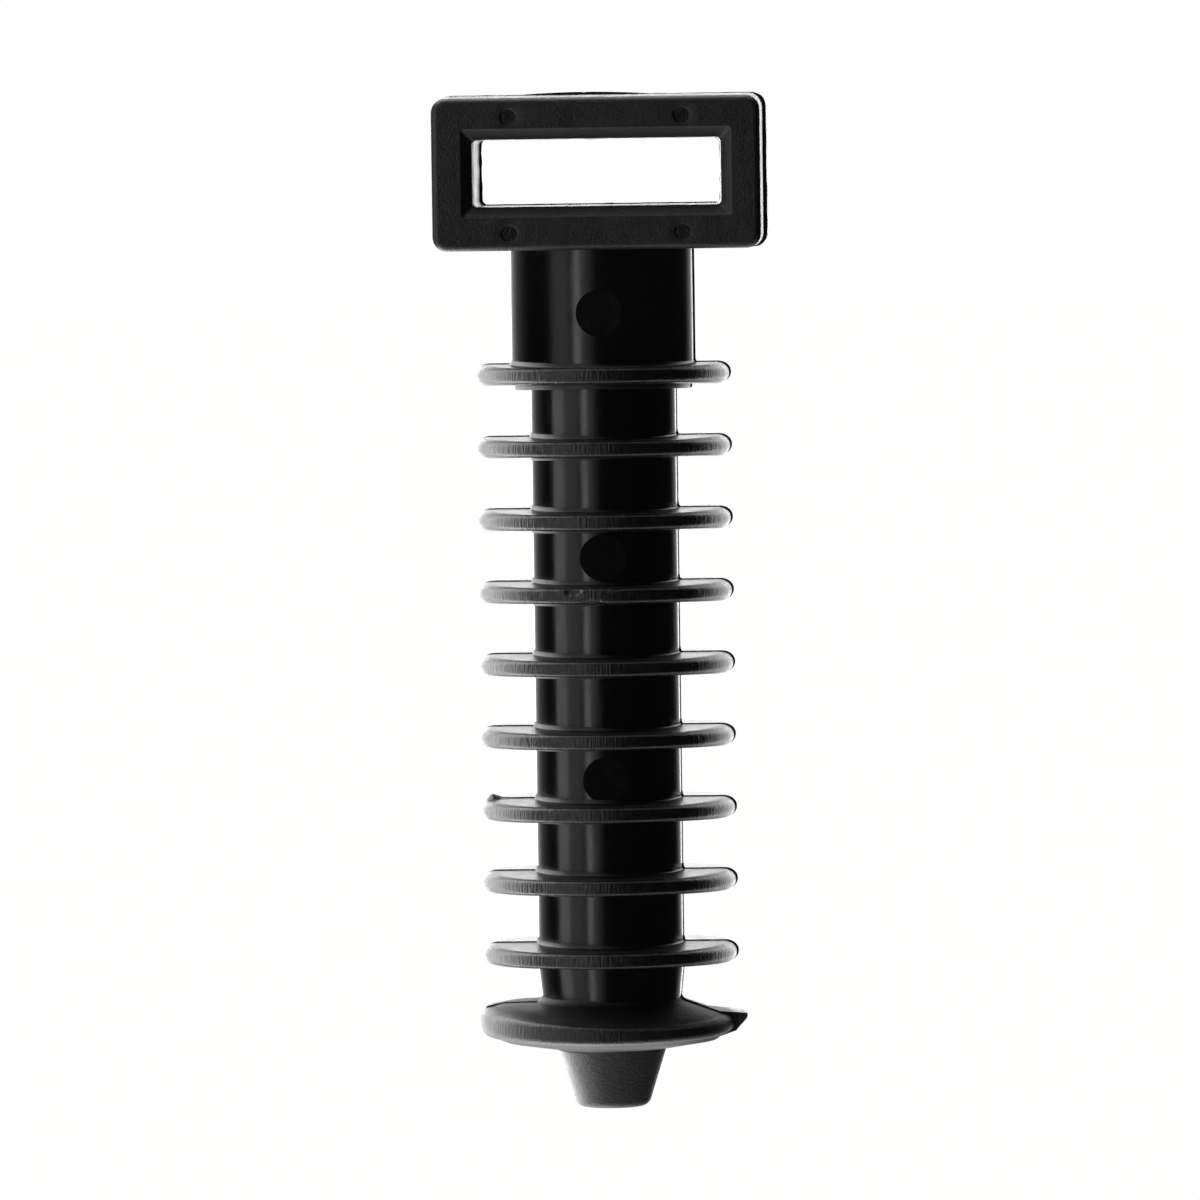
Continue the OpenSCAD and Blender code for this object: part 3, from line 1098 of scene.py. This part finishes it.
def make_floor(finish, level):
    """A round pale floor that reads as white, and neither throws nor takes any shade."""
    reach = 1.5
    brightness = 1.04
    made = bmesh.new()
    bmesh.ops.create_circle(made, cap_ends=True, radius=reach, segments=96,
                            matrix=Matrix.Translation((0, 0, level)))
    floor = add_object(made, "floor")
    material = bpy.data.materials.new("floor_white_laminate")
    material.use_nodes = True
    tree = material.node_tree
    tree.nodes.clear()
    glow = add_node(
        tree, "ShaderNodeEmission", {"Color": (*finish.floor, 1), "Strength": brightness})
    add_node(tree, "ShaderNodeOutputMaterial", {"Surface": glow.outputs[0]})
    floor.data.materials.append(material)
    floor.visible_glossy = False
    floor.visible_diffuse = False
    floor.visible_shadow = False


def make_camera(stage):
    """A long lens that stands a little to the right and looks slightly down."""
    aim = Vector((stage.aim_x, 0, stage.aim_z))
    back = Vector((math.sin(stage.azimuth) * math.cos(stage.elevation),
                   -math.cos(stage.azimuth) * math.cos(stage.elevation),
                   math.sin(stage.elevation)))
    data = bpy.data.cameras.new("camera")
    data.sensor_width = 36
    data.lens = data.sensor_width * stage.distance / stage.width
    data.clip_start = 0.01
    camera = bpy.data.objects.new("camera", data)
    bpy.context.scene.collection.objects.link(camera)
    look = back.to_track_quat("Z", "Y").to_matrix().to_4x4()
    camera.matrix_world = (Matrix.Translation(aim + back * stage.distance) @ look
                           @ Matrix.Rotation(stage.roll, 4, "Z"))
    bpy.context.scene.camera = camera


class ANCHOR_OT_stage(bpy.types.Operator):
    """Builds the floor, the studio light and the camera"""
    bl_idname = "anchor.stage"
    bl_label = "Stage"

    # Azimuths run from the camera to the right, in degrees, and widths are in millimetres.
    cards = [
        dict(name="side_card", azimuth=-75.5, width=22.5, glow=1.4),
        dict(name="left_rim_card", azimuth=-114, width=78, glow=3.9),
        dict(name="right_rim_card", azimuth=138, width=34, glow=2.6),
        dict(name="lead_card", azimuth=-126, width=62, glow=4.2),
        dict(name="tip_card", azimuth=-128, width=66, glow=12.0),
    ]

    def execute(self, context):
        settings = context.scene.tie_anchor
        world = bpy.data.worlds.new("studio")
        context.scene.world = world
        studio_light(world, settings.stage.azimuth)
        for card in self.cards:
            make_card(card["name"], settings.stage.azimuth + math.radians(card["azimuth"]),
                      card["width"] * MM, card["glow"])
        floor_gap = 0.2 * MM
        make_floor(settings.finish, CAD_BOX[0].z - floor_gap)
        make_camera(settings.stage)
        context.scene.view_settings.view_transform = "Standard"
        return {"FINISHED"}


STEPS = [ANCHOR_OT_stage, ANCHOR_OT_head, ANCHOR_OT_strike_pad, ANCHOR_OT_collar,
         ANCHOR_OT_core, ANCHOR_OT_fins, ANCHOR_OT_lead_fin, ANCHOR_OT_tip]


class ANCHOR_PT_sidebar(bpy.types.Panel):
    """Lists the anchor's features and sizes"""
    bl_idname = "ANCHOR_PT_sidebar"
    bl_label = "Tie Anchor"
    bl_space_type = "VIEW_3D"
    bl_region_type = "UI"
    bl_category = "Tie Anchor"

    def draw(self, context):
        settings = context.scene.tie_anchor
        for step in STEPS:
            self.layout.operator(step.bl_idname)
        for group in (settings.mould, settings.head, settings.shank, settings.finish,
                      settings.stage):
            box = self.layout.box()
            for name in group.__annotations__:
                box.prop(group, name)


CLASSES = [AnchorMouldSizes, AnchorHeadSizes, AnchorShankSizes, AnchorFinish, AnchorStageSizes,
           AnchorSettings, *STEPS, ANCHOR_PT_sidebar]


def register():
    for made in CLASSES:
        bpy.utils.register_class(made)
    bpy.types.Scene.tie_anchor = bpy.props.PointerProperty(type=AnchorSettings)


def unregister():
    del bpy.types.Scene.tie_anchor
    for made in reversed(CLASSES):
        bpy.utils.unregister_class(made)


def main():
    register()
    for step in STEPS:
        group, name = step.bl_idname.split(".")
        if getattr(getattr(bpy.ops, group), name)() != {"FINISHED"}:
            raise RuntimeError(f"{step.bl_label} wasn't built")


if __name__ == "__main__":
    main()
